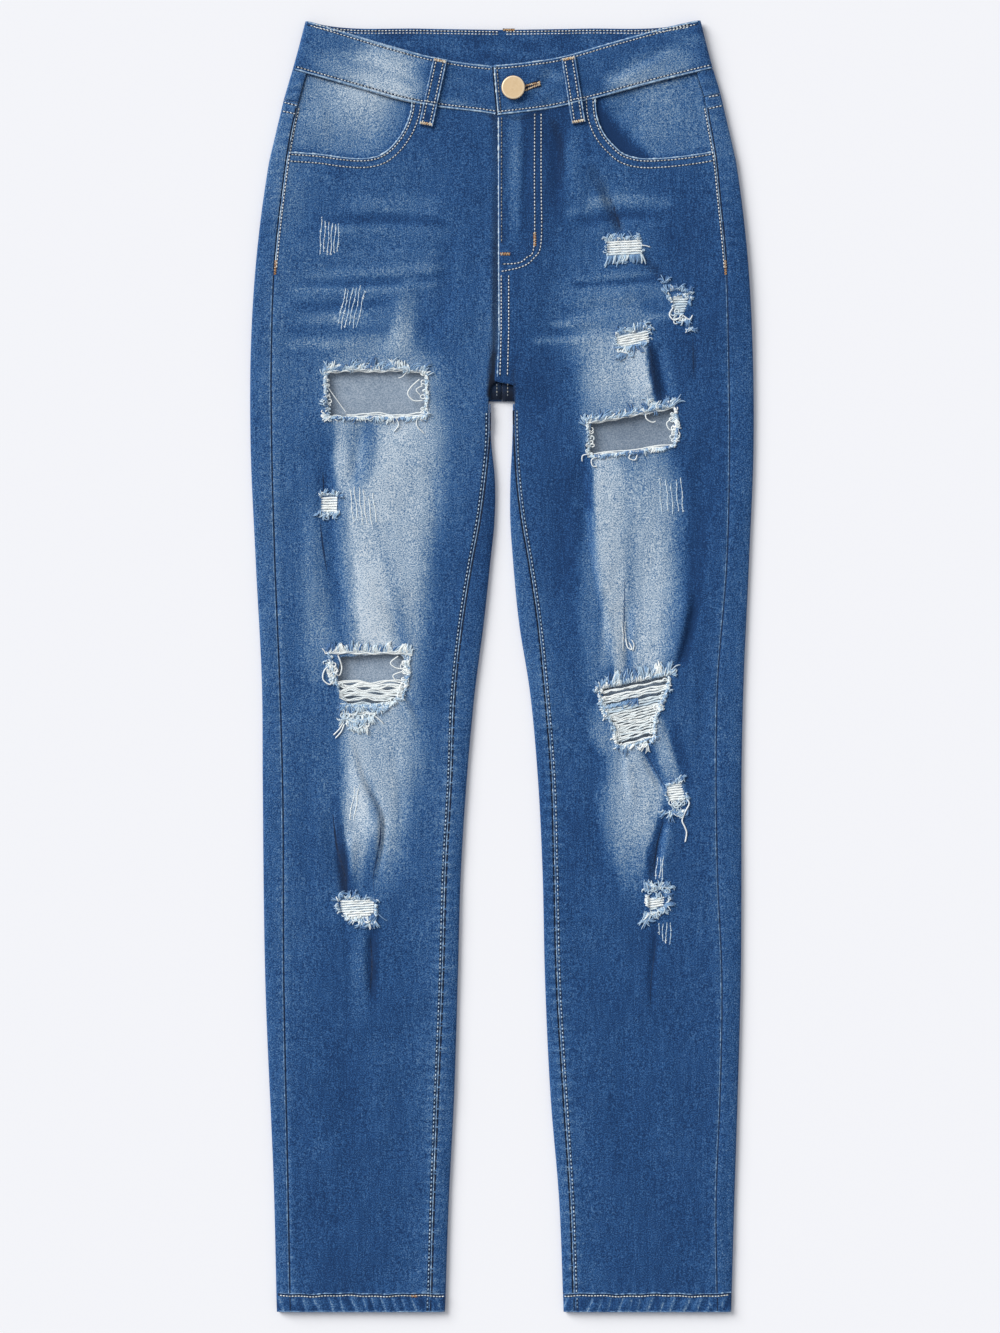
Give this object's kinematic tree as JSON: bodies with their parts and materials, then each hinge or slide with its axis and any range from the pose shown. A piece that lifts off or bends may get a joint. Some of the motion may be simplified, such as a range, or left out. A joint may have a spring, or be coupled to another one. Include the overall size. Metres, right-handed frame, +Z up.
{
  "type": "ripped jeans",
  "caption": "Slim ripped denim jeans laid flat on their back, with frayed thigh and knee rips, front scoop pockets, fly, belt loops and turned hems.",
  "frame": {"origin": "middle of the bounding box's floor face: the underside, midway between the side folds and between waist and hems", "axes": "+Y from hems to waist, +Z up off the surface it lies on, +X towards the wearer's left leg"},
  "size_m": [0.3933, 1.008, 0.0138],
  "materials": {
    "denim": "washed blue stretch-denim twill, faded on thighs and hips, white at worn seam edges",
    "denim_wrong_side": "grey-blue wrong side of the twill, seen through the rips",
    "topstitch_thread": "tan and off-white cotton-wrapped topstitching and bartacks",
    "frayed_yarn": "matt off-white weft and pale blue warp yarn ends at the rips",
    "zip_tape": "woven zip tape, hidden behind the fly",
    "button_metal": "brushed antique-gold tack button"
  },
  "bodies": {
    "root": {"front_right": "denim", "front_left": "denim", "back_right": "denim", "back_left": "denim", "yoke_right": "denim", "yoke_left": "denim", "waistband": "denim", "pocket_facing_right": "denim", "pocket_facing_left": "denim", "hem_right": "denim", "hem_left": "denim", "belt_loop_front_right": "denim", "belt_loop_front_left": "denim", "belt_loop_back_right": "denim", "belt_loop_back_centre": "denim", "belt_loop_back_left": "denim", "back_pocket_right": "denim", "back_pocket_left": "denim", "fly_zip": "zip_tape", "waist_button": "button_metal"}
  },
  "joints": []
}
